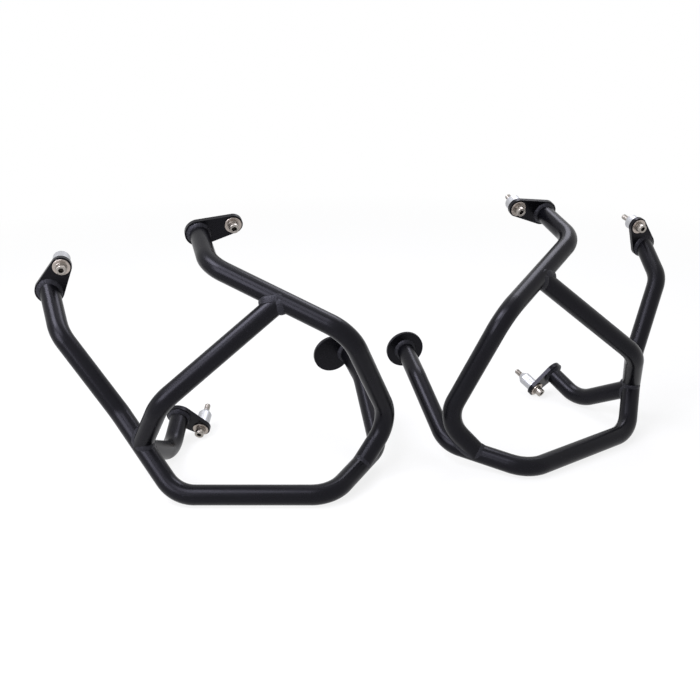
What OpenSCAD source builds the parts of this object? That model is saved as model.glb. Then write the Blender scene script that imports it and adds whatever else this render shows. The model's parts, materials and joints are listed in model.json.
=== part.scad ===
// A pair of motorcycle crash bars in satin black bent tube, standing on the floor.
// Each half is a lower rail, an upper hoop, a brace and a short stub, welded together,
// with three bolt tabs and one end disc for fastening it to the frame of the machine.
// Millimetres. X runs along the pair, Y away from the viewer, Z up, the floor at zero.

/* [Tube] */
// outside diameter of all the tubes
tube_d = 25.4; // [22:0.1:28]
// wall of the tubes
tube_wall = 2; // [1.2:0.1:3.2]
// bend radius on the centre line
bend_r = 46; // [40:1:50]

/* [Lower rail] */
// straight that rests on the floor, corner to corner
rail_run = 192; // [180:1:204]
// how far the rear end lies behind the middle of that straight
rear_reach = 271; // [262:1:284]
// how far the rear end is set in towards the machine
rear_inset = 143; // [137:1:150]
// height of the rear end
rear_height = 228; // [218:1:238]
// how far the front end is set in, at the end disc
disc_inset = 247; // [238:1:256]
// height of the end disc
disc_height = 102; // [96:1:108]

/* [Upper hoop] */
// height of the hoop's end at the upper tab
hoop_height = 294; // [286:1:304]
// how far that end is set in
hoop_inset = 169; // [162:1:176]
// how far forward the hoop reaches
hoop_reach = 170; // [162:1:178]
// height of the hoop's front knee on the left one
left_knee_height = 211; // [205:1:225]
// height of the hoop's front knee on the right one
right_knee_height = 218; // [205:1:225]
// place of the hoop's foot along the rail's front slope, 0 to 1
foot_place = 0.61; // [0.54:0.01:0.66]

/* [Brace] */
// place of the brace's head along the top of the hoop
brace_head_place = 0.52; // [0.46:0.01:0.58]
// place of the brace's foot along the rail's rear slope
brace_foot_place = 0.4; // [0.36:0.01:0.42]
// height of the brace's bend
brace_bend_height = 129; // [120:1:136]

/* [Stub] */
// place of the stub's root along the rail's rear slope
stub_place = 0.45; // [0.43:0.01:0.52]
// how far the stub's end is set in
stub_inset = 174; // [168:1:182]

/* [Bolt tabs] */
// thickness of the plates
tab_t = 6; // [4:0.5:8]
// width at the tube
tab_wide_d = 37; // [34:0.5:42]
// width at the bolt
tab_bolt_d = 26; // [23:0.5:28]
// bolt hole
tab_hole_d = 9; // [8.6:0.1:10]

/* [End disc] */
// diameter
disc_d = 55.5; // [50:0.5:62]
// thickness
disc_t = 5; // [3:0.5:8]
// how far the left disc sits off its tube towards the rear
left_disc_shift = 24; // [0:1:26]

/* [Welds] */
// throat of the weld beads
weld_w = 3; // [2:0.1:4]

/* [Bolts] */
// thread diameter
bolt_d = 8; // [7:0.1:8.2]
// head diameter
head_d = 13; // [12:0.1:14]
// head height
head_h = 8; // [7:0.5:9]
// width of the hex recess across the flats
hex_w = 6; // [5:0.1:6.6]
// bolt length under the head, rear tab
rear_bolt_l = 45; // [40:1:55]
// bolt length under the head, upper tab on the right one
right_bolt_l = 40; // [35:1:50]
// bolt length under the head, upper tab on the left one
left_bolt_l = 25; // [20:1:35]
// bolt length under the head, lower tab
low_bolt_l = 50; // [46:1:60]

/* [Washers] */
// diameter of the flat washers
washer_d = 22; // [18:0.5:24]
// thickness of the flat washers
washer_t = 2; // [1.2:0.1:3]
// diameter of the spring washers
spring_d = 14.8; // [13:0.1:16]
// thickness of the spring washers
spring_t = 2; // [1.4:0.1:2.6]

/* [Spacers] */
// diameter at the rear and upper tabs
spacer_d = 22; // [18:0.5:25]
// length at the rear tab, and at the upper tab on the right one
spacer_l = 20; // [14:1:25]
// length at the upper tab on the left one
left_spacer_l = 4; // [2:0.5:8]
// diameter at the lower tab
low_spacer_d = 19; // [17:0.5:22]
// length at the lower tab
low_spacer_l = 28; // [20:1:34]

/* [Pair] */
// distance from the left one to the right one along the pair
pair_x = 431; // [415:1:470]
// how much further back the right one stands
pair_y = 113; // [95:1:130]
// how far the right one is turned
pair_turn = 33; // [28:1:36]

/* [Hidden] */
$fn = 48;
tube_r = tube_d / 2;
black = [0.09, 0.09, 0.1];
steel = [0.62, 0.6, 0.57];
grey = [0.66, 0.66, 0.67];
// Bends swell by a hair, and the straights run a little way into them.
swell = 0.06;
lap = 0.4;
// Tubes and plates are welded with this gap between them before the bead goes on.
fit = 0.04;
bore_r = bolt_d / 2 + 0.25;
middle = [153.98, 198.91, -swell];

function unit(v) = v / norm(v);
// A direction away from the viewer, turned towards +X and then up.
function aim(turn, up) = [sin(turn) * cos(up), cos(turn) * cos(up), sin(up)];
function between(a, b, t) = a + (b - a) * t;
// Where the line through a along d meets the plane through q with the normal n.
function meet(a, d, q, n) = a + d * (((q - a) * n) / (d * n));
function turn_at(p, i) = acos(unit(p[i] - p[i - 1]) * unit(p[i + 1] - p[i]));
function setback(p, i) =
  i <= 0 || i >= len(p) - 1 ? 0 : bend_r * tan(turn_at(p, i) / 2);

// Corners of the centre lines in the half's own frame. s is 0 on the left and 1 on the right.
rail_0 = [-rear_reach, rear_inset, rear_height];
function rail_1(s) = rail_0 + [24, -50, s == 0 ? -38 : -35];
rail_2 = [-173, 62, 95];
rail_3 = [-rail_run / 2, 0, tube_r];
rail_4 = [rail_run / 2, 0, tube_r];
function rail_5(s) = [156, 96, s == 0 ? 29 : 27];
rail_7 = [115, disc_inset, disc_height];
rail_6 = rail_7 + [20, -55, -16];

hoop_0 = [-76, hoop_inset, hoop_height];
hoop_1 = hoop_0 + [21, -68, -17];
function hoop_2(s) = [118, s == 0 ? 35 : 42, s == 0 ? left_knee_height : right_knee_height];
function hoop_3(s) = s == 0 ? [hoop_reach, 87, 74] : [hoop_reach, 84, 70];
function hoop_4(s) = between(rail_4, rail_5(s), foot_place);

function brace_0(s) = between(hoop_1, hoop_2(s), brace_head_place);
function brace_1(s) = [s == 0 ? -109.5 : -107, s == 0 ? 15 : 12, brace_bend_height - 4 * s];
brace_2 = between(rail_2, rail_3, brace_foot_place);

stub_0 = between(rail_2, rail_3, stub_place);
stub_1 = [-126.5, 116.5, 10];
stub_2 = [-124, stub_inset, 34.5];

low_up = 22;
// Bolt axes point inboard; each bolt point is the front face of its flat washer.
upper_axis = aim(-16, 18);
rear_axis = aim(-16, 10);
low_axis = aim(6, low_up);
disc_axis = aim(-19, 7);
upper_bolt = hoop_0 + [41, 17, 12];
rear_bolt = rail_0 + [19.5, -1, 33.5];
low_height = tab_bolt_d / 2 * cos(low_up) - washer_t * sin(low_up);
low_bolt = [-96.5, stub_inset + 1, low_height];

// The front face of each tab is one flat washer behind its bolt point.
upper_face = upper_bolt + upper_axis * washer_t;
rear_face = rear_bolt + rear_axis * washer_t;
low_face = low_bolt + low_axis * washer_t;
upper_foot = meet(hoop_1, unit(hoop_0 - hoop_1), upper_face, upper_axis);
function rear_foot(s) = meet(rail_1(s), unit(rail_0 - rail_1(s)), rear_face, rear_axis);
low_foot = meet(stub_1, unit(stub_2 - stub_1), low_face, low_axis);

function rail(s) = [rear_foot(s), rail_1(s), rail_2, rail_3, rail_4, rail_5(s), rail_6, rail_7];
function hoop(s) = [upper_foot, hoop_1, hoop_2(s), hoop_3(s), hoop_4(s)];
function brace(s) = [brace_0(s), brace_1(s), brace_2];
function stub() = [stub_0, stub_1, low_foot];
function top_bolt_l(s) = s == 0 ? left_bolt_l : right_bolt_l;
function top_spacer_l(s) = s == 0 ? left_spacer_l : spacer_l;

// Stands children on point a with their own Z along the line to point b.
module along(a, b) {
  w = unit(b - a);
  u = unit(cross(abs(w[2]) > 0.9 ? [1, 0, 0] : [0, 0, 1], w));
  v = cross(w, u);
  multmatrix([[u[0], v[0], w[0], a[0]], [u[1], v[1], w[1], a[1]], [u[2], v[2], w[2], a[2]]])
    children();
}

// One bend, swept round its own centre.
module bend_at(p, i, r) {
  d1 = unit(p[i] - p[i - 1]);
  d2 = unit(p[i + 1] - p[i]);
  n = unit(d2 - d1 * (d1 * d2));
  c = p[i] - d1 * setback(p, i) + n * bend_r;
  z = cross(-n, d1);
  multmatrix([[-n[0], d1[0], z[0], c[0]], [-n[1], d1[1], z[1], c[1]], [-n[2], d1[2], z[2], c[2]]])
    rotate_extrude(angle = turn_at(p, i)) translate([bend_r, 0]) circle(r);
}

// A bent round bar through the corners p. more lengthens it past its first and last corner.
module bar(p, r, more_0 = 0, more_1 = 0) {
  last = len(p) - 1;
  for (i = [0:last - 1]) {
    d = unit(p[i + 1] - p[i]);
    a = p[i] + d * (i == 0 ? -more_0 : setback(p, i) - lap);
    b = p[i + 1] - d * (i == last - 1 ? -more_1 : setback(p, i + 1) - lap);
    along(a, b) cylinder(h = norm(b - a), r = r);
  }
  for (i = [1:1:last - 1]) bend_at(p, i, r + swell);
}

// A bent tube, open at both ends.
module tube(p, more_0 = 0, more_1 = 0) {
  difference() {
    bar(p, tube_r, more_0, more_1);
    bar(p, tube_r - tube_wall, more_0 + 1, more_1 + 1);
  }
}

// Everything a little way behind a plate's front face.
module behind(q, n) {
  along(q, q + n) translate([0, 0, -fit]) cylinder(h = 60, r = 60);
}

module rail_tube(s) {
  difference() {
    tube(rail(s), 12, 12);
    behind(rear_foot(s), rear_axis);
    behind(rail_7, disc_axis);
  }
}

module hoop_tube(s) {
  difference() {
    tube(hoop(s), 12, 0);
    behind(upper_foot, upper_axis);
    bar(rail(s), tube_r + fit);
  }
}

module brace_tube(s) {
  difference() {
    tube(brace(s));
    bar([hoop_1, hoop_2(s)], tube_r + fit);
    bar([rail_2, rail_3], tube_r + fit);
  }
}

module stub_tube(s) {
  difference() {
    tube(stub(), 0, 12);
    behind(low_foot, low_axis);
    bar([rail_2, rail_3], tube_r + fit);
    along(brace_2, brace_1(s)) translate([0, 0, -8]) cylinder(h = 60, r = tube_r + fit);
  }
}

// A teardrop plate from its bolt hole at q to the tube's foot, with straight flanks.
module tab(q, n, foot) {
  l = norm(foot - q);
  u = (foot - q) / l;
  v = cross(n, u);
  r1 = tab_bolt_d / 2;
  r2 = tab_wide_d / 2;
  t = acos((r1 - r2) / l);
  f1 = (r1 - 0.03) * [cos(t), sin(t)];
  f2 = (r2 - 0.03) * [cos(t), sin(t)];
  flank = [f1, [l + f2[0], f2[1]], [l + f2[0], -f2[1]], [f1[0], -f1[1]]];
  multmatrix([[u[0], v[0], n[0], q[0]], [u[1], v[1], n[1], q[1]], [u[2], v[2], n[2], q[2]]])
    difference() {
      union() {
        cylinder(h = tab_t, r = r1);
        translate([l, 0, 0]) cylinder(h = tab_t, r = r2);
        linear_extrude(tab_t) polygon(flank);
      }
      translate([0, 0, -1]) cylinder(h = tab_t + 2, d = tab_hole_d);
    }
}

// A flat disc with a small bevel round both faces.
module disc(s) {
  side = unit(cross(disc_axis, [0, 0, 1]));
  c = rail_7 - side * (s == 0 ? left_disc_shift : 0);
  b = 0.6;
  along(c, c + disc_axis) rotate_extrude() polygon([
    [0, 0], [disc_d / 2 - b, 0], [disc_d / 2, b],
    [disc_d / 2, disc_t - b], [disc_d / 2 - b, disc_t], [0, disc_t]
  ]);
}

// A bead round the tube's end at a, where it meets a plate with the normal n.
module end_weld(a, back, n) {
  w = weld_w;
  difference() {
    along(a, back) rotate_extrude() polygon([
      [tube_r, -6], [tube_r + w, -6], [tube_r + w, w * 0.2], [tube_r + w * 0.75, w * 0.7],
      [tube_r + w * 0.3, w], [tube_r, w]
    ]);
    behind(a, n);
  }
}

// A bead in the corner between a coped tube's end a to b and the tube c to d it lands on.
module cope_weld(a, b, c, d) {
  difference() {
    intersection() {
      along(a, b) translate([0, 0, 3]) cylinder(h = 45, r = tube_r + weld_w);
      along(c, d) cylinder(h = norm(d - c), r = tube_r + weld_w * 0.8);
    }
    along(a, b) translate([0, 0, -4]) cylinder(h = 60, r = tube_r);
    along(c, d) translate([0, 0, -1]) cylinder(h = norm(d - c) + 2, r = tube_r + fit * 1.5);
  }
}

// A socket head bolt along Z. Its plain shank reaches the spacer's end and has the rolled
// thread's blank diameter; the full thread diameter runs from there to the point.
module bolt(length, spacer) {
  grip = spring_t + 1 + washer_t + tab_t + spacer + 0.5;
  shank = bolt_d * 0.45;
  difference() {
    union() {
      translate([0, 0, -spring_t - head_h]) rotate_extrude() polygon([
        [0, 0], [head_d / 2 - 0.7, 0], [head_d / 2, 0.7], [head_d / 2, head_h], [0, head_h]
      ]);
      translate([0, 0, -spring_t - 1]) rotate_extrude() polygon([
        [0, 0], [shank, 0], [shank, grip], [bolt_d / 2, grip], [bolt_d / 2, length],
        [bolt_d / 2 - 1, length + 1], [0, length + 1]
      ]);
    }
    translate([0, 0, -spring_t - head_h - 1]) cylinder(h = 5, d = hex_w / cos(30), $fn = 6);
  }
}

// A ring from z0 to z1 with a bevel on its outer edges.
module ring(d, z0, z1, b = 0.3) {
  rotate_extrude() polygon([
    [bore_r, z0], [d / 2 - b, z0], [d / 2, z0 + b], [d / 2, z1 - b], [d / 2 - b, z1],
    [bore_r, z1]
  ]);
}

module spring_washer() {
  difference() {
    ring(spring_d, -spring_t, 0);
    rotate([12, 0, 0]) translate([0, -0.7, -spring_t * 2]) cube([20, 1.4, spring_t * 4]);
  }
}

module at_upper() {
  along(upper_bolt, upper_bolt + upper_axis) children();
}

module at_rear() {
  along(rear_bolt, rear_bolt + rear_axis) children();
}

module at_low() {
  along(low_bolt, low_bolt + low_axis) children();
}

// The left one stands as it is; the right one is its mirror image, turned and set back.
module left() {
  translate(-middle) children();
}

module right() {
  translate(-middle) translate([pair_x, pair_y, 0]) rotate([0, 0, pair_turn])
    mirror([1, 0, 0]) children();
}

module spacer(d, length) {
  ring(d, washer_t + tab_t, washer_t + tab_t + length, 0.6);
}

// The disc's bead, kept to the disc where the tube stands near its rim.
module disc_bead(s) {
  side = unit(cross(disc_axis, [0, 0, 1]));
  c = rail_7 - side * (s == 0 ? left_disc_shift : 0);
  intersection() {
    end_weld(rail_7, rail_6, disc_axis);
    along(c - disc_axis * 40, c) cylinder(h = 50, d = disc_d);
  }
}

// The stub's bead stops at the brace and at the brace's own bead.
module stub_bead(s) {
  difference() {
    cope_weld(stub_0, stub_1, rail_2, rail_3);
    along(brace_2, brace_1(s)) translate([0, 0, -8]) cylinder(h = 60, r = tube_r + weld_w + fit);
  }
}

// The brace's foot bead stops at the stub.
module brace_foot_bead(s) {
  difference() {
    cope_weld(brace_2, brace_1(s), rail_2, rail_3);
    along(stub_0, stub_1) translate([0, 0, -8]) cylinder(h = 60, r = tube_r + fit * 1.5);
  }
}

// The hoop's bead follows the rail round the start of its next bend.
module foot_bead(s) {
  intersection() {
    along(hoop_4(s), hoop_3(s)) translate([0, 0, 3]) difference() {
      cylinder(h = 38, r = tube_r + weld_w);
      translate([0, 0, -1]) cylinder(h = 40, r = tube_r);
    }
    difference() {
      bar([rail_4, rail_5(s), rail_6], tube_r + weld_w * 0.8);
      bar([rail_4, rail_5(s), rail_6], tube_r + fit * 1.5, 1, 1);
    }
  }
}

module left_upper_hoop() {
  color(black) left() hoop_tube(0);
}

module left_lower_rail() {
  color(black) left() rail_tube(0);
}

module left_brace() {
  color(black) left() brace_tube(0);
}

module left_stub() {
  color(black) left() stub_tube(0);
}

module left_upper_tab() {
  color(black) left() tab(upper_face, upper_axis, upper_foot);
}

module left_rear_tab() {
  color(black) left() tab(rear_face, rear_axis, rear_foot(0));
}

module left_low_tab() {
  color(black) left() tab(low_face, low_axis, low_foot);
}

module left_end_disc() {
  color(black) left() disc(0);
}

module left_upper_tab_weld() {
  color(black) left() end_weld(upper_foot, hoop_1, upper_axis);
}

module left_rear_tab_weld() {
  color(black) left() end_weld(rear_foot(0), rail_1(0), rear_axis);
}

module left_low_tab_weld() {
  color(black) left() end_weld(low_foot, stub_1, low_axis);
}

module left_disc_weld() {
  color(black) left() disc_bead(0);
}

module left_brace_head_weld() {
  color(black) left() cope_weld(brace_0(0), brace_1(0), hoop_1, hoop_2(0));
}

module left_brace_foot_weld() {
  color(black) left() brace_foot_bead(0);
}

module left_stub_weld() {
  color(black) left() stub_bead(0);
}

module left_hoop_foot_weld() {
  color(black) left() foot_bead(0);
}

module left_upper_bolt() {
  color(steel) left() at_upper() bolt(top_bolt_l(0), top_spacer_l(0));
}

module left_rear_bolt() {
  color(steel) left() at_rear() bolt(rear_bolt_l, spacer_l);
}

module left_low_bolt() {
  color(steel) left() at_low() bolt(low_bolt_l, low_spacer_l);
}

module left_upper_spring_washer() {
  color(steel) left() at_upper() spring_washer();
}

module left_rear_spring_washer() {
  color(steel) left() at_rear() spring_washer();
}

module left_low_spring_washer() {
  color(steel) left() at_low() spring_washer();
}

module left_upper_washer() {
  color(steel) left() at_upper() ring(washer_d, 0, washer_t);
}

module left_rear_washer() {
  color(steel) left() at_rear() ring(washer_d, 0, washer_t);
}

module left_low_washer() {
  color(steel) left() at_low() ring(washer_d, 0, washer_t);
}

module left_upper_spacer() {
  color(grey) left() at_upper() spacer(spacer_d, top_spacer_l(0));
}

module left_rear_spacer() {
  color(grey) left() at_rear() spacer(spacer_d, spacer_l);
}

module left_low_spacer() {
  color(grey) left() at_low() spacer(low_spacer_d, low_spacer_l);
}

module right_upper_hoop() {
  color(black) right() hoop_tube(1);
}

module right_lower_rail() {
  color(black) right() rail_tube(1);
}

module right_brace() {
  color(black) right() brace_tube(1);
}

module right_stub() {
  color(black) right() stub_tube(1);
}

module right_upper_tab() {
  color(black) right() tab(upper_face, upper_axis, upper_foot);
}

module right_rear_tab() {
  color(black) right() tab(rear_face, rear_axis, rear_foot(1));
}

module right_low_tab() {
  color(black) right() tab(low_face, low_axis, low_foot);
}

module right_end_disc() {
  color(black) right() disc(1);
}

module right_upper_tab_weld() {
  color(black) right() end_weld(upper_foot, hoop_1, upper_axis);
}

module right_rear_tab_weld() {
  color(black) right() end_weld(rear_foot(1), rail_1(1), rear_axis);
}

module right_low_tab_weld() {
  color(black) right() end_weld(low_foot, stub_1, low_axis);
}

module right_disc_weld() {
  color(black) right() disc_bead(1);
}

module right_brace_head_weld() {
  color(black) right() cope_weld(brace_0(1), brace_1(1), hoop_1, hoop_2(1));
}

module right_brace_foot_weld() {
  color(black) right() brace_foot_bead(1);
}

module right_stub_weld() {
  color(black) right() stub_bead(1);
}

module right_hoop_foot_weld() {
  color(black) right() foot_bead(1);
}

module right_upper_bolt() {
  color(steel) right() at_upper() bolt(top_bolt_l(1), top_spacer_l(1));
}

module right_rear_bolt() {
  color(steel) right() at_rear() bolt(rear_bolt_l, spacer_l);
}

module right_low_bolt() {
  color(steel) right() at_low() bolt(low_bolt_l, low_spacer_l);
}

module right_upper_spring_washer() {
  color(steel) right() at_upper() spring_washer();
}

module right_rear_spring_washer() {
  color(steel) right() at_rear() spring_washer();
}

module right_low_spring_washer() {
  color(steel) right() at_low() spring_washer();
}

module right_upper_washer() {
  color(steel) right() at_upper() ring(washer_d, 0, washer_t);
}

module right_rear_washer() {
  color(steel) right() at_rear() ring(washer_d, 0, washer_t);
}

module right_low_washer() {
  color(steel) right() at_low() ring(washer_d, 0, washer_t);
}

module right_upper_spacer() {
  color(grey) right() at_upper() spacer(spacer_d, top_spacer_l(1));
}

module right_rear_spacer() {
  color(grey) right() at_rear() spacer(spacer_d, spacer_l);
}

module right_low_spacer() {
  color(grey) right() at_low() spacer(low_spacer_d, low_spacer_l);
}

left_upper_hoop();
left_lower_rail();
left_brace();
left_stub();
left_upper_tab();
left_rear_tab();
left_low_tab();
left_end_disc();
left_upper_tab_weld();
left_rear_tab_weld();
left_low_tab_weld();
left_disc_weld();
left_brace_head_weld();
left_brace_foot_weld();
left_stub_weld();
left_hoop_foot_weld();
left_upper_bolt();
left_rear_bolt();
left_low_bolt();
left_upper_spring_washer();
left_rear_spring_washer();
left_low_spring_washer();
left_upper_washer();
left_rear_washer();
left_low_washer();
left_upper_spacer();
left_rear_spacer();
left_low_spacer();
right_upper_hoop();
right_lower_rail();
right_brace();
right_stub();
right_upper_tab();
right_rear_tab();
right_low_tab();
right_end_disc();
right_upper_tab_weld();
right_rear_tab_weld();
right_low_tab_weld();
right_disc_weld();
right_brace_head_weld();
right_brace_foot_weld();
right_stub_weld();
right_hoop_foot_weld();
right_upper_bolt();
right_rear_bolt();
right_low_bolt();
right_upper_spring_washer();
right_rear_spring_washer();
right_low_spring_washer();
right_upper_washer();
right_rear_washer();
right_low_washer();
right_upper_spacer();
right_rear_spacer();
right_low_spacer();
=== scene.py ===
# %% [markdown]
# # A pair of motorcycle crash bars
# The real object is two welded guards of bent steel tube, one for each side of the machine, with
# a satin black powder coat. Bolts, washers and turned spacers are already pushed through their
# tabs. Tubes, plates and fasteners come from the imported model. This lesson gives them a camera,
# light and finishes, and then draws what is too fine for the solids: the ripples of the weld
# beads, the threads and the wound spring washers.

import json
import math

import bmesh
import bpy
from mathutils import Matrix, Vector


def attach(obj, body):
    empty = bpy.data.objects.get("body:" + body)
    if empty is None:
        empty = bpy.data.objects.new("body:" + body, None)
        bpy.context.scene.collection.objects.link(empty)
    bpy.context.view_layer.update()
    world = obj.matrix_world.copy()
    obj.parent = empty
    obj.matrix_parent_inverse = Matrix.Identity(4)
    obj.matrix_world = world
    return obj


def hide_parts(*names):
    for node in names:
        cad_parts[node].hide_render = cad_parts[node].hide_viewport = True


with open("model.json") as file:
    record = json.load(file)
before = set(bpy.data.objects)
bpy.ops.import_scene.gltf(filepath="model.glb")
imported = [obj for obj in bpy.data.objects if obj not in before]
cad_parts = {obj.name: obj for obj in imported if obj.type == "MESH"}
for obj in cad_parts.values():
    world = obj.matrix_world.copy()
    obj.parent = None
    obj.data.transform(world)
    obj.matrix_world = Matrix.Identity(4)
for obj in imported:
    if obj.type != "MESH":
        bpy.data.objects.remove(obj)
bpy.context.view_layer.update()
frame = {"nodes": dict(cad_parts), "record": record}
nodes = frame["nodes"]

# %% [markdown]
# Colours are written as the sRGB hex values that a painter would pick. Blender's shaders work
# with linear light, so one function turns a hex value into linear numbers. Typing linear numbers
# by hand would work as well, but nobody can read them.

# %% Colour helper
def linear(hex_value):
    parts = [int(hex_value[i:i + 2], 16) / 255 for i in (1, 3, 5)]
    return [c / 12.92 if c <= 0.04045 else ((c + 0.055) / 1.055) ** 2.4 for c in parts] + [1.0]


print("mid grey in linear light:", linear("#808080")[0])

# %% [markdown]
# A material is a small graph of nodes. One function adds any node, fills in its settings and
# links its inputs, so each graph reads as a list of what feeds what.

# %% Node helper
def add_node(tree, kind, inputs=None, **settings):
    node = tree.nodes.new(kind)
    for key, value in settings.items():
        setattr(node, key, value)
    for key, value in (inputs or {}).items():
        if isinstance(value, bpy.types.NodeSocket):
            tree.links.new(value, node.inputs[key])
        else:
            node.inputs[key].default_value = value
    return node


def new_material(name):
    material = bpy.data.materials.new(name)
    material.use_nodes = True
    material.node_tree.nodes.clear()
    return material, material.node_tree


print("helpers:", add_node.__name__, "and", new_material.__name__)

# %% [markdown]
# The camera stands where the photographer stood: a little over half a metre above the floor and
# one metre in front of the pair, looking down at about 22 degrees. Its lens was worked out from
# the two halves, which are mirror images of each other seen from different sides.

# %% Camera
focal_px, picture_px = 795.0, 700
sensor_mm = 36.0
look_down = 21.9
camera_data = bpy.data.cameras.new("camera")
camera_data.sensor_width = sensor_mm
camera_data.lens = sensor_mm * focal_px / picture_px
camera_data.clip_end = 50
camera = bpy.data.objects.new("camera", camera_data)
camera.location = (-0.0360, -1.0399, 0.5430)
camera.rotation_euler = (math.radians(90 - look_down), 0, 0)
bpy.context.scene.collection.objects.link(camera)
bpy.context.scene.camera = camera
print("lens:", round(camera_data.lens, 2), "mm")

# %% [markdown]
# The studio is a white sweep. The floor keeps a soft shadow, but what the camera and the shiny
# metal see of it is mostly plain white, so the white comes from its colour and not from extra
# light on the black tubes. Lamps strong enough to wash the floor out would make the black grey.

# %% Floor
def seen_rays(tree, path):
    """1 for what the camera sees, straight or in a shiny surface, and 0 for light on the object."""
    first = add_node(tree, "ShaderNodeMath", {0: path.outputs["Is Camera Ray"],
                                              1: path.outputs["Is Glossy Ray"]},
                     operation="MAXIMUM")
    return add_node(tree, "ShaderNodeMath", {0: first.outputs[0],
                                             1: path.outputs["Is Transmission Ray"]},
                    operation="MAXIMUM")


def white_floor():
    material, tree = new_material("studio_white")
    path = add_node(tree, "ShaderNodeLightPath")
    seen = seen_rays(tree, path)
    place = add_node(tree, "ShaderNodeTexCoord")
    flat = add_node(tree, "ShaderNodeVectorMath", {0: place.outputs["Object"]}, operation="LENGTH")
    fade = add_node(tree, "ShaderNodeMapRange", {"Value": flat.outputs["Value"],
                                                 "From Min": 0.7, "From Max": 1.8,
                                                 "To Min": 0.84, "To Max": 1.0})
    share = add_node(tree, "ShaderNodeMath", {0: seen.outputs[0], 1: fade.outputs[0]},
                     operation="MULTIPLY")
    matt = add_node(tree, "ShaderNodeBsdfDiffuse", {"Color": linear("#f2f2f2")})
    plain = add_node(tree, "ShaderNodeEmission", {"Color": (1, 1, 1, 1), "Strength": 1.0})
    both = add_node(tree, "ShaderNodeMixShader", {0: share.outputs[0], 1: matt.outputs[0],
                                                  2: plain.outputs[0]})
    add_node(tree, "ShaderNodeOutputMaterial", {"Surface": both.outputs[0]})
    return material


bpy.ops.mesh.primitive_circle_add(vertices=96, radius=6, fill_type="NGON", location=(0, 0, 0))
floor = bpy.context.object
floor.name = "studio_floor"
floor.data.materials.append(white_floor())
print("floor:", floor.name, "with", floor.data.materials[0].name)

# %% [markdown]
# The world stands in for the rest of the sweep. What is seen of it is white. What it sheds on the
# object is dim, and dimmer still from the photographer's side, so the tubes stay black there.

# %% World
world = bpy.data.worlds.new("studio")
bpy.context.scene.world = world
world.use_nodes = True
tree = world.node_tree
tree.nodes.clear()
path = add_node(tree, "ShaderNodeLightPath")
place = add_node(tree, "ShaderNodeTexCoord")
split = add_node(tree, "ShaderNodeSeparateXYZ", {0: place.outputs["Generated"]})
# The far side of the sweep is bright, and the side where the photographer stands is dim.
sweep = add_node(tree, "ShaderNodeMapRange", {"Value": split.outputs["Y"], "From Min": -0.6,
                                              "From Max": 0.8, "To Min": 0.15, "To Max": 0.4})
shown = seen_rays(tree, path)
level = add_node(tree, "ShaderNodeMix", {"Factor": shown.outputs[0], "A": sweep.outputs[0],
                                         "B": 1.0}, data_type="FLOAT")
back = add_node(tree, "ShaderNodeBackground", {"Color": (1, 1, 1, 1),
                                               "Strength": level.outputs[0]})
add_node(tree, "ShaderNodeOutputWorld", {"Surface": back.outputs[0]})
print("world:", world.name, "with", len(tree.nodes), "nodes")

# %% [markdown]
# Satin black shows its form only by its highlights. Three soft boxes on the left, at different
# heights, draw the long bright lines on the flanks of the tubes. One above and one behind on the
# right light their tops. Sharp spots would be quicker to aim, but they draw thin double lines.
# The boxes were moved until the lines lay and faded as in the photograph.

# %% Soft boxes
def soft_box(name, place, look_at, width, height, watts, tint="#ffffff"):
    data = bpy.data.lights.new(name, "AREA")
    data.shape = "RECTANGLE"
    data.size, data.size_y, data.energy = width, height, watts
    data.color = linear(tint)[:3]
    lamp = bpy.data.objects.new(name, data)
    lamp.location = place
    aim_at = Vector(look_at) - Vector(place)
    lamp.rotation_euler = aim_at.to_track_quat("-Z", "Y").to_euler()
    bpy.context.scene.collection.objects.link(lamp)


cool_white = "#f4f4ff"
half_way_up = (0, 0, 0.15)
soft_box("overhead_box", (0.1, 0.3, 1.9), (0, 0, 0.1), 1.0, 0.8, 3)
soft_box("left_key", (-0.6, -0.75, 1.6), half_way_up, 1.0, 0.8, 14, cool_white)
soft_box("left_high", (-1.05, -0.35, 1.6), half_way_up, 0.8, 0.7, 24, cool_white)
soft_box("left_low", (-1.1, -1.2, 0.85), half_way_up, 0.85, 0.8, 17, cool_white)
soft_box("back_top", (0.42, 0.75, 1.35), (0.1, 0, 0.15), 0.7, 0.6, 10, cool_white)
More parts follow.
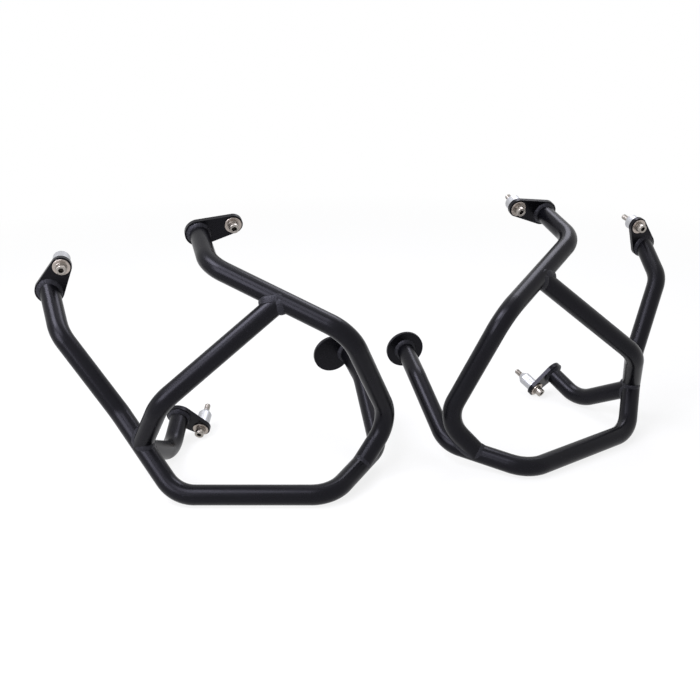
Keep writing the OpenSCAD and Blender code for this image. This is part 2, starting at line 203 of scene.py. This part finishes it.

# %% [markdown]
# The tubes are mild steel with a satin black powder coat. The powder is sprayed on dry and
# melted in an oven, which leaves a skin with a faint orange peel. Its highlights are soft and
# slightly blue, and dust and handling leave small dull marks. The peel's cells are about 1 mm
# wide; they are drawn at 1.6 mm, because finer ones wouldn't show at this size. The peel could be
# a real displacement, but it is only some hundredths of a millimetre deep, so bump is enough.
# Over a weld the coat is rougher and catches more light, and its colour is painted lighter as well:
# a painted sheen for the grey highlights on the bead.

# %% Satin black powder coat
def powder_coat(name, dark, light, peel_mm, roughness, peel_strength):
    cloud_mm, speck_mm = 45, 3.2
    material, tree = new_material(name)
    place = add_node(tree, "ShaderNodeTexCoord")
    where = place.outputs["Object"]
    peel = add_node(tree, "ShaderNodeTexNoise", {"Vector": where, "Scale": 1000 / peel_mm,
                                                 "Detail": 2.0, "Roughness": 0.5})
    cloud = add_node(tree, "ShaderNodeTexNoise", {"Vector": where, "Scale": 1000 / cloud_mm,
                                                  "Detail": 4.0, "Roughness": 0.6})
    speck = add_node(tree, "ShaderNodeTexNoise", {"Vector": where, "Scale": 1000 / speck_mm,
                                                  "Detail": 1.0})
    dust = add_node(tree, "ShaderNodeMapRange", {"Value": speck.outputs["Fac"],
                                                 "From Min": 0.74, "From Max": 0.84})
    rub = add_node(tree, "ShaderNodeMapRange", {"Value": cloud.outputs["Fac"], "From Min": 0.35,
                                                "From Max": 0.7, "To Min": roughness - 0.02,
                                                "To Max": roughness + 0.04})
    shade = add_node(tree, "ShaderNodeMix", {"Factor": cloud.outputs["Fac"],
                                             "A": linear(dark), "B": linear(light)},
                     data_type="RGBA")
    marked = add_node(tree, "ShaderNodeMix", {"Factor": dust.outputs[0],
                                              "A": shade.outputs["Result"],
                                              "B": linear("#1f1f23")}, data_type="RGBA")
    bump = add_node(tree, "ShaderNodeBump", {"Height": peel.outputs["Fac"],
                                             "Strength": peel_strength,
                                             "Distance": 0.0004})
    coat = add_node(tree, "ShaderNodeBsdfPrincipled", {"Base Color": marked.outputs["Result"],
                                                       "Roughness": rub.outputs[0],
                                                       "IOR": 1.5, "Specular IOR Level": 0.17,
                                                       "Specular Tint": linear("#e9e7f6"),
                                                       "Normal": bump.outputs["Normal"]})
    add_node(tree, "ShaderNodeOutputMaterial", {"Surface": coat.outputs[0]})
    return material


coat = powder_coat("satin_black_powder_coat", "#060608", "#09090c", peel_mm=1.6,
                   roughness=0.28, peel_strength=0.02)
# The weld's lighter colours are a painted sheen; its greater roughness and peel are real.
weld_coat_painted_sheen = powder_coat("weld_powder_coat_painted_sheen", "#141417", "#29292d", peel_mm=1.1,
                        roughness=0.4, peel_strength=0.3)
print("made", coat.name, weld_coat_painted_sheen.name)

# %% [markdown]
# The bolts are zinc plated steel. The plating is bright but slightly yellow grey, with fine
# clouds where it took unevenly. The washers are nickel plated and warmer. The spacers are turned
# from bar and tumbled, so they are matt and light. One function makes all of them, because they
# differ only in colour and in how rough they are.

# %% Plated and turned metals
def plated_steel(name, light, dark, roughness):
    cloud_mm, grit_mm = 5.0, 0.8
    material, tree = new_material(name)
    place = add_node(tree, "ShaderNodeTexCoord")
    where = place.outputs["Object"]
    cloud = add_node(tree, "ShaderNodeTexNoise", {"Vector": where, "Scale": 1000 / cloud_mm,
                                                  "Detail": 4.0, "Roughness": 0.6})
    grit = add_node(tree, "ShaderNodeTexNoise", {"Vector": where, "Scale": 1000 / grit_mm,
                                                 "Detail": 2.0})
    shade = add_node(tree, "ShaderNodeMix", {"Factor": cloud.outputs["Fac"],
                                             "A": linear(dark), "B": linear(light)},
                     data_type="RGBA")
    rough = add_node(tree, "ShaderNodeMapRange", {"Value": cloud.outputs["Fac"],
                                                  "From Min": 0.3, "From Max": 0.7,
                                                  "To Min": roughness + 0.06,
                                                  "To Max": roughness - 0.06})
    bump = add_node(tree, "ShaderNodeBump", {"Height": grit.outputs["Fac"], "Strength": 0.05,
                                             "Distance": 0.0002})
    metal = add_node(tree, "ShaderNodeBsdfPrincipled", {"Base Color": shade.outputs["Result"],
                                                        "Metallic": 1.0,
                                                        "Roughness": rough.outputs[0],
                                                        "Normal": bump.outputs["Normal"]})
    add_node(tree, "ShaderNodeOutputMaterial", {"Surface": metal.outputs[0]})
    return material


bolt_zinc = plated_steel("zinc_plated_bolt", "#aca7a1", "#857f79", 0.3)
washer_nickel = plated_steel("nickel_plated_washer", "#b9afa8", "#a0978f", 0.32)
spacer_bar = plated_steel("turned_spacer", "#b4b5b8", "#a9aaad", 0.42)
# The lining of the hex socket is painted dark, a painted shade for the shadow deep in the recess.
socket_painted_shade = plated_steel("hex_socket_painted_shade", "#3b3733", "#24211f", 0.45)
print("made", bolt_zinc.name, washer_nickel.name, spacer_bar.name)

# %% [markdown]
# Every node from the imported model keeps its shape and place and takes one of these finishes. The
# record names a slot for each node, so a table from slot to finish is all that is needed.

# %% Dress the solids
finish = {"black_coat": coat, "coated_weld": weld_coat_painted_sheen, "zinc_bolt": bolt_zinc,
          "nickel_washer": washer_nickel, "bare_spacer": spacer_bar}
slots = {p["node"]: p["material_slot"] for p in frame["record"]["subparts"]}
for name, piece in nodes.items():
    wanted = finish[slots[name]]
    if not piece.data.materials:
        piece.data.materials.append(wanted)
    for i in range(len(piece.data.materials)):
        piece.data.materials[i] = wanted
print("dressed", len(nodes), "nodes")

# %% [markdown]
# The weld beads, threads and split washers are drawn here, so this lesson needs the same points
# as the solids. They are the corners of one half in its own frame, in millimetres: X along the
# rail, Y towards the machine and Z up. The right half is the left one mirrored, turned and moved.

# %% Sizes shared with the solids
tube_r = 12.7
washer_t, tab_t, spring_t = 2.0, 6.0, 2.0
tab_bolt_r = 13.0       # radius of a tab round its bolt
head_h = 8.0            # height of a bolt's head
disc_shift = 24.0       # how far the left disc sits off its tube
low_up = 22             # how far the lower bolts point up, in degrees


def aim(turn, up):
    t, u = math.radians(turn), math.radians(up)
    return Vector((math.sin(t) * math.cos(u), math.cos(t) * math.cos(u), math.sin(u)))


axes = {"upper": aim(-16, 18), "rear": aim(-16, 10), "low": aim(6, low_up), "disc": aim(-19, 7)}
print("bolt axis at the upper tab:", axes["upper"])

# %% [markdown]
# Each tube is a row of straights joined by bends. These corners are where the straights would
# meet without their bends. A bead lies on straights only, so the bends aren't needed here. Reading
# the corners off the meshes would be possible too, but a mesh doesn't say where its centre line is.

# %% Corners of one half
def half_points(s):
    """Corners of the centre lines and the bolts' points: s is 0 on the left and 1 on the right."""
    p = {}
    p["rail_0"] = Vector((-271, 143, 228))
    p["rail_1"] = p["rail_0"] + Vector((24, -50, -38 + 3 * s))
    p["rail_2"] = Vector((-173, 62, 95))
    p["rail_3"] = Vector((-96, 0, tube_r))
    p["rail_4"] = Vector((96, 0, tube_r))
    p["rail_5"] = Vector((156, 96, 29 - 2 * s))
    p["rail_7"] = Vector((115, 247, 102))
    p["rail_6"] = p["rail_7"] + Vector((20, -55, -16))
    p["hoop_0"] = Vector((-76, 169, 294))
    p["hoop_1"] = p["hoop_0"] + Vector((21, -68, -17))
    p["hoop_2"] = Vector((118, 35, 211)) if s == 0 else Vector((118, 42, 218))
    p["hoop_3"] = Vector((170, 87, 74)) if s == 0 else Vector((170, 84, 70))
    p["hoop_4"] = p["rail_4"].lerp(p["rail_5"], 0.61)
    p["brace_0"] = p["hoop_1"].lerp(p["hoop_2"], 0.52)
    p["brace_1"] = Vector((-109.5, 15, 129)) if s == 0 else Vector((-107, 12, 125))
    p["brace_2"] = p["rail_2"].lerp(p["rail_3"], 0.4)
    p["stub_0"] = p["rail_2"].lerp(p["rail_3"], 0.45)
    p["stub_1"] = Vector((-126.5, 116.5, 10))
    p["stub_2"] = Vector((-124, 174, 34.5))
    p["upper_bolt"] = p["hoop_0"] + Vector((41, 17, 12))
    p["rear_bolt"] = p["rail_0"] + Vector((19.5, -1, 33.5))
    # The lower tab stands on the floor, which settles the height of its bolt.
    p["low_bolt"] = Vector((-96.5, 175, tab_bolt_r * math.cos(math.radians(low_up))
                            - washer_t * math.sin(math.radians(low_up))))
    return p


print("points of one half:", len(half_points(0)))

# %% [markdown]
# Two matrices carry a half's own points into the frame of the model, in metres. Writing the
# right half's points by hand would double the numbers and let the two drift apart.

# %% Places of the two halves
middle = Vector((153.98, 198.91, -0.06))
mm = Matrix.Scale(0.001, 4)
place_left = mm @ Matrix.Translation(-middle)
place_right = (mm @ Matrix.Translation(-middle) @ Matrix.Translation((431, 113, 0))
               @ Matrix.Rotation(math.radians(33), 4, "Z") @ Matrix.Scale(-1, 4, (1, 0, 0)))
sides = [("left", 0, place_left), ("right", 1, place_right)]
print("upper bolt point, left:", place_left @ half_points(0)["upper_bolt"])

# %% [markdown]
# A small helper turns points and faces into a piece in metres, in the frame of the model. The
# mirrored half would have its faces inside out, so all normals are worked out again. The piece
# rides on the only body and stands in for the plain solid of the same fastener or bead.

# %% Piece helper
def make_piece(name, verts, faces, place, material, stands_for, smooth=True, inner=None):
    mesh = bpy.data.meshes.new(name)
    mesh.from_pydata([place @ Vector(v) for v in verts], [], faces)
    mesh.validate()
    bm = bmesh.new()
    bm.from_mesh(mesh)
    bmesh.ops.recalc_face_normals(bm, faces=bm.faces)
    bm.to_mesh(mesh)
    bm.free()
    mesh.materials.append(material)
    if inner:
        # The first faces line a socket, which takes a second material: the painted shade of its
        # recess.
        mesh.materials.append(inner[0])
        for polygon in list(mesh.polygons)[:inner[1]]:
            polygon.material_index = 1
    piece = bpy.data.objects.new(name, mesh)
    bpy.context.scene.collection.objects.link(piece)
    for polygon in mesh.polygons:
        polygon.use_smooth = smooth
    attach(piece, "root")
    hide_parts(*stands_for)
    return piece


def frame_along(axis):
    """Three directions at right angles: upwards, sideways and along the axis."""
    up = Vector((0, 0, 1))
    w = axis.normalized()
    u = (up - w * up.dot(w)).normalized()
    return u, w.cross(u), w


print("directions along X:", frame_along(Vector((1, 0, 0))))

# %% [markdown]
# Beads, bolts, spring washers and spacers are all rows of points, each row a ring round something,
# with four-sided faces between one row and the next. Blender's screw or skin modifier could do
# some of them, but one short loop does them all, and it keeps the faces in a known order.

# %% Faces between rings
def bands(rows, n, closed=False):
    """Faces between rows of n points each. A closed skin comes back to its first row."""
    faces = []
    for i in range(rows if closed else rows - 1):
        a, b = i * n, (i + 1) % rows * n
        for k in range(n):
            m = (k + 1) % n
            faces.append((a + k, a + m, b + m, b + k))
    return faces


print("faces between 3 rings of 4:", len(bands(3, 4)), "and closed:", len(bands(3, 4, True)))

# %% [markdown]
# A weld bead is a row of small frozen pools, each lying over the last, about 3 mm apart. It is
# drawn as a fillet along the line where the two pieces meet, from one face to the other. It
# swells and shrinks with the pools, and a few sine waves that don't repeat keep it from looking
# like a machine's.

# %% Shape of a weld bead
pool_mm = 3.1       # from one frozen pool to the next
bead_arc = 9        # points across the bead's face


def bead(line, normals, leg):
    """A lumpy fillet along a closed line where two faces meet, given their outward normals."""
    sunk = 0.8      # its edges lie this far under the two faces
    verts = []
    run = 0.0
    count = len(line)
    for i, point in enumerate(line):
        ahead = (line[(i + 1) % count] - line[i - 1]).normalized()
        n1, n2 = normals[i]
        t1, t2 = ahead.cross(n1).normalized(), ahead.cross(n2).normalized()
        t1 = t1 if t1.dot(n2) > 0 else -t1
        t2 = t2 if t2.dot(n1) > 0 else -t2
        if i:
            run += (line[i] - line[i - 1]).length
        pool = (run / pool_mm) % 1.0
        size = leg * (0.96 + 0.10 * (1 - pool) ** 0.5 + 0.05 * math.sin(run * 0.31 + 1.3)
                      + 0.04 * math.sin(run * 0.83 + 0.4))
        start = point + t1 * size * 1.08 - n1 * sunk
        end = point + t2 * size - n2 * sunk
        crest = point + (t1 + t2) * size * 0.66
        for k in range(bead_arc):
            f = k / (bead_arc - 1)
            on = start * (1 - f) ** 2 + crest * (2 * f * (1 - f)) + end * f ** 2
            hump = 4 * f * (1 - f)
            lump = 0.10 * math.sin(run * 1.9 + 5 * f) + 0.07 * math.sin(run * 4.1 - 6 * f)
            slump = 0.8 * hump * (0.5 - pool)
            verts.append(on + (n1 + n2) * (0.5 * lump * hump) + ahead * slump)
        verts.append(point - (n1 + n2) * 0.9)
    return verts, bands(count, bead_arc + 1, closed=True)


print("pools round a tube:", round(2 * math.pi * tube_r / pool_mm, 1))

# %% [markdown]
# A bead needs the line that it follows. Where a tube stands on a plate, that is the tube's slanted
# end, an ellipse. Where a coped tube lands on the side of another, it is a saddle curve, found by
# running a straight line along the first tube until it meets the second. Cutting the two meshes
# against each other would give the same lines, but slower and with uneven steps.

# %% Lines that the beads follow
def plate_line(foot, axis, tube_axis, steps=150):
    """Where a tube's end meets the plate, with the tube's and the plate's normals there."""
    u, v, w = frame_along(tube_axis)
    line, normals = [], []
    for i in range(steps):
        t = 2 * math.pi * i / steps
        out = u * math.cos(t) + v * math.sin(t)
        start = foot + out * tube_r
        down = (foot - start).dot(axis) / w.dot(axis)
        line.append(start + w * down)
        normals.append((out, -axis))
    return line, normals


def cope_line(a, b, c, d, steps=170):
    """Where a coped tube from a to b meets the side of the tube from c to d."""
    u, v, w = frame_along(b - a)
    along_c = (d - c).normalized()
    line, normals = [], []
    for i in range(steps):
        t = 2 * math.pi * i / steps
        out = u * math.cos(t) + v * math.sin(t)
        start = a + out * tube_r
        # distance from the other tube's axis is tube_r: a quadratic in the way along w
        q0 = (start - c) - along_c * (start - c).dot(along_c)
        q1 = w - along_c * w.dot(along_c)
        aa, bb, cc = q1.dot(q1), 2 * q0.dot(q1), q0.dot(q0) - tube_r ** 2
        root = math.sqrt(max(0.0, bb * bb - 4 * aa * cc))
        point = start + w * ((-bb + root) / (2 * aa))
        away = (point - c) - along_c * (point - c).dot(along_c)
        line.append(point)
        normals.append((out, away.normalized()))
    return line, normals


x_way, y_way = Vector((100, 0, 0)), Vector((0, 100, 0))
line, normals = cope_line(Vector((0, 0, 0)), x_way, -y_way, y_way)
print("a square cope is", round(max(v.x for v in line) - min(v.x for v in line), 2), "mm deep")

# %% [markdown]
# Each half has four beads at plates and four at coped ends. The one at the brace's head was laid
# thicker, as the photograph shows. The left disc sits off its tube, so its bead is cut short
# where it would run over the rim.

# %% Lay the beads
disc_edge = 27.4
plate_leg, cope_leg, brace_head_leg = 4.0, 3.8, 5.0
made = 0
for side, s, place in sides:
    p = half_points(s)
    ends = {
        "upper_tab_weld": ("hoop_1", "hoop_0", "upper", p["upper_bolt"] + axes["upper"] * washer_t),
        "rear_tab_weld": ("rail_1", "rail_0", "rear", p["rear_bolt"] + axes["rear"] * washer_t),
        "low_tab_weld": ("stub_1", "stub_2", "low", p["low_bolt"] + axes["low"] * washer_t),
        "disc_weld": ("rail_6", "rail_7", "disc", p["rail_7"]),
    }
    for node, (start, end, axis, on_plate) in ends.items():
        way = (p[end] - p[start]).normalized()
        n = axes[axis]
        foot = p[start] + way * ((on_plate - p[start]).dot(n) / way.dot(n))
        line, normals = plate_line(foot, n, way)
        verts, faces = bead(line, normals, plate_leg)
        if node == "disc_weld" and side == "left":
            out = Vector((n.y, -n.x, 0)).normalized()
            centre = p["rail_7"] - out * disc_shift
            for i, v in enumerate(verts):
                flat = (v - centre) - n * (v - centre).dot(n)
                if flat.length > disc_edge:
                    verts[i] = v - flat.normalized() * (flat.length - disc_edge)
        make_piece(f"{side}_{node}_bead", verts, faces, place, weld_coat_painted_sheen,
                   [f"{side}_{node}"])
        made += 1
    copes = {
        "brace_head_weld": ("brace_0", "brace_1", "hoop_1", "hoop_2"),
        "brace_foot_weld": ("brace_2", "brace_1", "rail_2", "rail_3"),
        "stub_weld": ("stub_0", "stub_1", "rail_2", "rail_3"),
        "hoop_foot_weld": ("hoop_4", "hoop_3", "rail_4", "rail_5"),
    }
    for node, names in copes.items():
        line, normals = cope_line(*(p[k] for k in names))
        leg = brace_head_leg if node == "brace_head_weld" else cope_leg
        verts, faces = bead(line, normals, leg)
        make_piece(f"{side}_{node}_bead", verts, faces, place, weld_coat_painted_sheen,
                   [f"{side}_{node}"])
        made += 1
print("weld beads:", made)

# %% [markdown]
# The bolts are socket head cap screws. Their heads are turned with a small bevel, and the hex
# socket is punched with a round bottom. A cylinder with a hex prism cut out of it would come near,
# but its edges would need bevels afterwards. Here the skin is a row of rings, round or hexagonal,
# from the middle of the socket's floor outwards, over the head and down the rod.

# %% Head and rod of a bolt
bolt_sides = 48
bolt_r = 4.0


def round_at(r, z):
    return lambda t: (r * math.cos(t), r * math.sin(t), z)


def hex_at(r, z):
    """A hexagon whose flats are r away from the middle."""
    def make(t):
        part = (t % (math.pi / 3)) - math.pi / 6
        k = r / math.cos(part)
        return (k * math.cos(t), k * math.sin(t), z)
    return make


top, under = -spring_t - head_h, -spring_t
hex_r, head_r, rod_r = 3.0, 6.5, bolt_r - 0.02
socket_rings = [round_at(0.25, top + 5.2), round_at(1.8, top + 4.6),
                hex_at(hex_r - 0.05, top + 4.2), hex_at(hex_r, top + 4.0),
                hex_at(hex_r, top + 0.35)]
head_rings = [hex_at(hex_r + 0.3, top + 0.06), round_at(3.9, top), round_at(5.7, top),
              round_at(6.05, top + 0.08), round_at(6.35, top + 0.32),
              round_at(head_r, top + 0.75), round_at(head_r, under - 0.3),
              round_at(6.4, under), round_at(4.2, under), round_at(rod_r, under + 0.2)]
print("rings of the head:", len(socket_rings) + len(head_rings))

# %% [markdown]
# The thread is M8, a helix that climbs 1.25 mm a turn. A screw modifier could wind it, but it
# would have to be joined to the rod. Instead the rod's own rings go on, eight to a turn, and their
# radius rises and falls with the height and with the angle.

# %% Thread of a bolt
def thread_rings(thread_from, tip):
    pitch, depth, run_in, bevel = 1.25, 0.62, 1.2, 1.0
    rings = []
    steps = int((tip - thread_from) / (pitch / 8))
    for i in range(steps + 1):
        z = thread_from + (tip - thread_from) * i / steps
        ease = min(1.0, (z - thread_from) / run_in)
        point = max(0.0, (z - (tip - bevel)))

        def make(t, z=z, ease=ease, point=point):
            turn = (z / pitch + t / (2 * math.pi)) % 1.0
            wave = abs(turn * 2 - 1)
            r = bolt_r - depth * ease * (1 - min(1.0, wave * 1.15)) - point * 0.95
            return (r * math.cos(t), r * math.sin(t), z)
        rings.append(make)
    return rings


def bolt_mesh(length, thread_from):
    """A bolt along Z. Its first faces line the socket."""
    rings = (socket_rings + head_rings + [round_at(rod_r, thread_from - 0.5)]
             + thread_rings(thread_from, length - spring_t))
    n = bolt_sides
    verts = [ring(2 * math.pi * k / n) for ring in rings for k in range(n)]
    last = (len(rings) - 1) * n
    ends = tuple(range(n)), tuple(last + k for k in reversed(range(n)))
    return verts, [ends[0]] + bands(len(rings), n) + [ends[1]]


# The floor of the socket, and the bands between its rings.
socket_faces = 1 + (len(socket_rings) - 1) * bolt_sides
print("a 45 mm bolt has", len(bolt_mesh(45, 24)[0]), "points,", socket_faces, "socket faces")

# %% [markdown]
# All six bolts have the same head and differ in length. Each is turned by its own angle, since
# nobody lines up the sockets when bolts are dropped in.

# %% Place the bolts
thread_inside = 4       # how far inside the spacer the thread starts
bolt_length = {("left", "upper"): 25, ("right", "upper"): 40, ("left", "rear"): 45,
               ("right", "rear"): 45, ("left", "low"): 50, ("right", "low"): 50}
spacer_length = {("left", "upper"): 4, ("right", "upper"): 20, ("left", "rear"): 20,
                 ("right", "rear"): 20, ("left", "low"): 28, ("right", "low"): 28}


def stand(place, point, axis, spin=0.0):
    """The frame of one bolt: its Z along the bolt's axis, its origin on the washer's face."""
    u, v, w = frame_along(axis)
    turn = Matrix((u, v, w)).transposed().to_4x4()
    return place @ Matrix.Translation(point) @ turn @ Matrix.Rotation(math.radians(spin), 4, "Z")


def bolt_places():
    """Side, its number, which tab, the tab's number, and where the bolt stands when it is spun."""
    for side, s, place in sides:
        p = half_points(s)
        for k, where in enumerate(("upper", "rear", "low")):
            def at(spin=0.0, place=place, point=p[f"{where}_bolt"], axis=axes[where]):
                return stand(place, point, axis, spin)
            yield side, s, where, k, at


bolts = []
for side, s, where, k, at in bolt_places():
    start = washer_t + tab_t + max(0, spacer_length[side, where] - thread_inside)
    verts, faces = bolt_mesh(bolt_length[side, where], start)
    # The socket's faces take the painted shade of the recess.
    bolts.append(make_piece(f"{side}_{where}_bolt_threaded", verts, faces,
                            at(17 + 23 * k + 11 * s), bolt_zinc,
                            [f"{side}_{where}_bolt"], inner=(socket_painted_shade, socket_faces)))
print("bolts with threads:", len(bolts))

# %% [markdown]
# A spring washer is a short length of square wire, wound into one open turn and cut at a slant.
# Its ends stand a little apart along the bolt, which is what makes it a spring. A flat ring with
# a notch would miss that step. So the wire's section is carried round, climbing as it goes, and
# the first and the last section are turned a little for the slanted cut.

# %% Spring washers
def spring_washer_mesh(steps=60):
    inner, outer, gap, cut_slant = 4.25, 7.4, 9.0, math.radians(6)
    section = ((inner, -spring_t + 0.14), (inner + 0.15, -spring_t + 0.06),
               (outer - 0.3, -spring_t + 0.06), (outer, -spring_t + 0.3),
               (outer, -0.3), (outer - 0.3, -0.06), (inner + 0.15, -0.06), (inner, -0.14))
    verts = []
    for i in range(steps + 1):
        t = math.radians(gap / 2 + (360 - gap) * i / steps)
        lean = 0.12 * (i / steps - 0.5)
        for r, z in section:
            slant = cut_slant * (z + 1) / 2 * (1 if i in (0, steps) else 0)
            verts.append((r * math.cos(t + slant), r * math.sin(t + slant), z + lean * 0.5))
    n = len(section)
    ends = tuple(range(n)), tuple(steps * n + k for k in reversed(range(n)))
    return verts, bands(steps + 1, n) + list(ends)


springs = []
for side, s, where, k, at in bolt_places():
    verts, faces = spring_washer_mesh()
    springs.append(make_piece(f"{side}_{where}_spring_washer_wound", verts, faces,
                              at(40 + 70 * k + 30 * s), bolt_zinc,
                              [f"{side}_{where}_spring_washer"], smooth=False))
print("spring washers:", len(springs))

# %% [markdown]
# Four of the spacers are bushes whose far end is turned down to a cone, so that it drops into a
# recess in the machine's frame. The tool leaves faint rings on the side, so the profile that is
# spun has a tiny step every half millimetre. The other two keep their plain solids: no cone shows
# on the left guard's rear spacer, and its upper one is out of sight.

# %% Turned spacers
def spacer_mesh(radius, length, n=64):
    near, far = washer_t + tab_t, washer_t + tab_t + length
    cone, bore_r, ring_step, tool_mark = 6.5, 4.3, 0.5, 0.03
    profile = [(bore_r, near), (radius - 0.5, near), (radius, near + 0.5)]
    rings = int((length - cone - 1) / ring_step)
    for i in range(rings + 1):
        z = near + 0.5 + (length - cone - 0.8) * i / rings
        profile.append((radius - (tool_mark if i % 2 else 0.0), z))
    profile += [(radius - 0.4, far - cone + 0.3), (radius * 0.55, far - 0.5),
                (radius * 0.52, far), (bore_r, far)]
    verts = [round_at(r, z)(2 * math.pi * k / n) for r, z in profile for k in range(n)]
    return verts, bands(len(profile), n, closed=True)


spacer_r = {"upper": 11.0, "rear": 11.0, "low": 9.5}
spacers = []
for side, s, where, k, at in bolt_places():
    if side == "right" or where == "low":
        verts, faces = spacer_mesh(spacer_r[where], spacer_length[side, where])
        spacers.append(make_piece(f"{side}_{where}_spacer_turned", verts, faces, at(), spacer_bar,
                                  [f"{side}_{where}_spacer"]))
print("turned spacers:", len(spacers))

# %% [markdown]
# The last cell sets the plain colour view.

# %% Finish
bpy.context.scene.view_settings.view_transform = "Standard"
